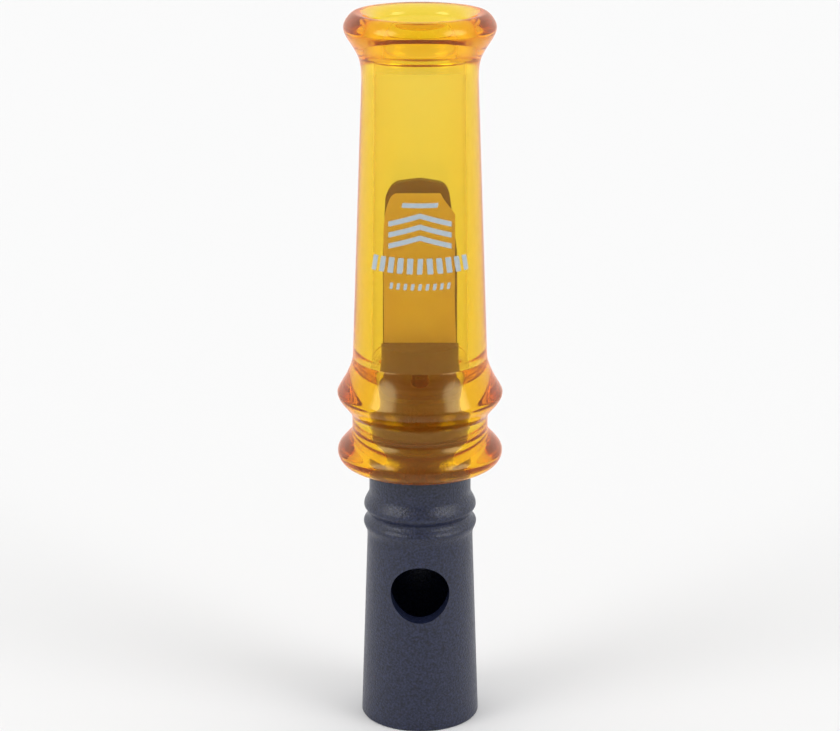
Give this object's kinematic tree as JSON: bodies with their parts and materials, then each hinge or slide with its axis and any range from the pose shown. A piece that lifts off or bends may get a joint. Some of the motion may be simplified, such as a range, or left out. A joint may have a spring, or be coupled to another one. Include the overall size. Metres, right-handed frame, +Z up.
{
  "type": "duck call",
  "caption": "Duck call with a clear flared barrel that pulls off a beaded stopper, and sprung reeds on a sounding board inside.",
  "frame": {"origin": "centre of the exhaust end's face, which the call stands on", "axes": "+Z up along the call's axis to the mouthpiece; the reeds and the side hole face -Y"},
  "size_m": [0.0324, 0.0324, 0.1423],
  "materials": {
    "clear_amber": "clear amber moulded plastic, polished",
    "grey_plastic": "matte blue-grey moulded plastic with a fine grain",
    "seal_rubber": "black rubber",
    "board_plastic": "matte grey moulded plastic",
    "wedge_plastic": "matte grey moulded plastic",
    "reed_film": "frosted plastic film"
  },
  "bodies": {
    "stopper": {"stopper": "grey_plastic", "tenon_seal_lower": "seal_rubber", "tenon_seal_upper": "seal_rubber", "tone_board": "board_plastic", "reed_wedge": "wedge_plastic", "lower_reed_root": "reed_film", "upper_reed_root": "reed_film"},
    "barrel": {"barrel": "clear_amber"},
    "lower_reed": {"lower_reed_blade": "reed_film"},
    "upper_reed": {"upper_reed_blade": "reed_film"}
  },
  "joints": [
    {"name": "barrel_pull", "type": "slide", "parent": "stopper", "child": "barrel", "axis": [0, 0, 1], "range_m": [0, 0.06]},
    {"name": "lower_reed_flex", "type": "hinge", "parent": "stopper", "child": "lower_reed", "pos_m": [0, -0.0004, 0.0781], "axis": [-1, 0, 0], "range_deg": [-0.5, 1], "stiffness_Nm_per_rad": 0.008},
    {"name": "upper_reed_flex", "type": "hinge", "parent": "stopper", "child": "upper_reed", "pos_m": [0, -0.0004, 0.0781], "axis": [-1, 0, 0], "range_deg": [-0.5, 1], "stiffness_Nm_per_rad": 0.008}
  ],
  "couplings": [
    {"joint": "upper_reed_flex", "follows": "lower_reed_flex", "ratio": 1}
  ]
}
